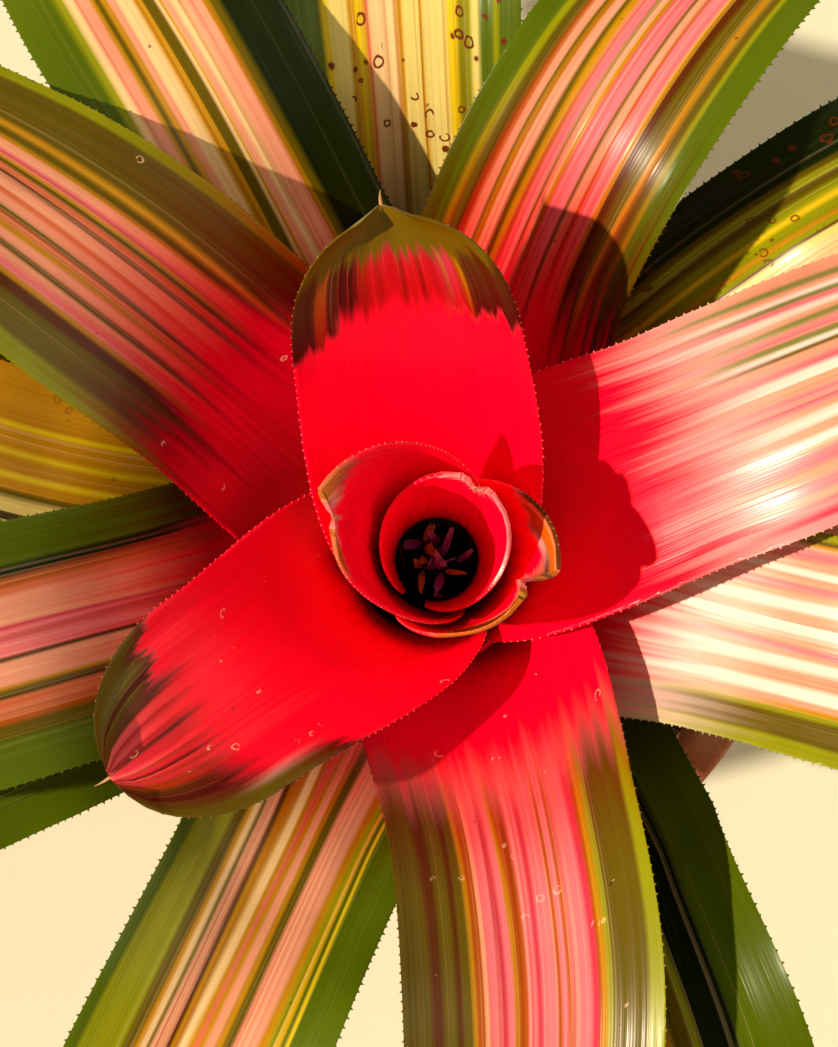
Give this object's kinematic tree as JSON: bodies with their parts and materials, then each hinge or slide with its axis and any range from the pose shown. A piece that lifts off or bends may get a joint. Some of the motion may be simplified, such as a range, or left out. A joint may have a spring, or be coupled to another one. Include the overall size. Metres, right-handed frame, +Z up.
{
  "type": "potted neoregelia bromeliad",
  "caption": "Rosette bromeliad with red inner leaves round a water cup and striped green, cream and pink outer leaves, growing in a round clay pot.",
  "frame": {"origin": "on the pot's axis, at the level of the surface that the pot stands on", "axes": "+Z up along the pot's axis; +Y towards the short leaf that stands at the back of the cup, +X towards the broad red leaf on its right"},
  "size_m": [0.3626, 0.3677, 0.2426],
  "materials": {
    "clay": "unglazed terracotta, matte and slightly dusty",
    "potting_mix": "dry bark and peat crumbs",
    "stem": "pale fibrous stem",
    "flowers": "soft petals and brown bracts, satin",
    "red_bract": "waxy red leaf skin, semi-gloss",
    "inner_leaf": "waxy red leaf skin with olive margins, semi-gloss",
    "outer_leaf": "waxy leaf skin striped green, cream and pink, semi-gloss"
  },
  "bodies": {
    "root": {"pot": "clay", "soil": "potting_mix", "stem": "stem", "flower_head": "flowers", "cup_bract_1": "red_bract", "cup_bract_2": "red_bract", "cup_bract_3": "red_bract", "leaf_01": "inner_leaf", "leaf_02": "inner_leaf", "leaf_03": "inner_leaf", "leaf_04": "inner_leaf", "leaf_05": "inner_leaf", "leaf_06": "outer_leaf", "leaf_07": "outer_leaf", "leaf_08": "outer_leaf", "leaf_09": "outer_leaf", "leaf_10": "outer_leaf", "leaf_11": "outer_leaf", "leaf_12": "outer_leaf", "leaf_13": "outer_leaf", "leaf_14": "outer_leaf", "leaf_15": "outer_leaf", "leaf_16": "outer_leaf", "leaf_17": "outer_leaf", "leaf_18": "outer_leaf", "leaf_19": "outer_leaf", "leaf_20": "outer_leaf", "leaf_21": "outer_leaf", "leaf_22": "outer_leaf"}
  },
  "joints": []
}
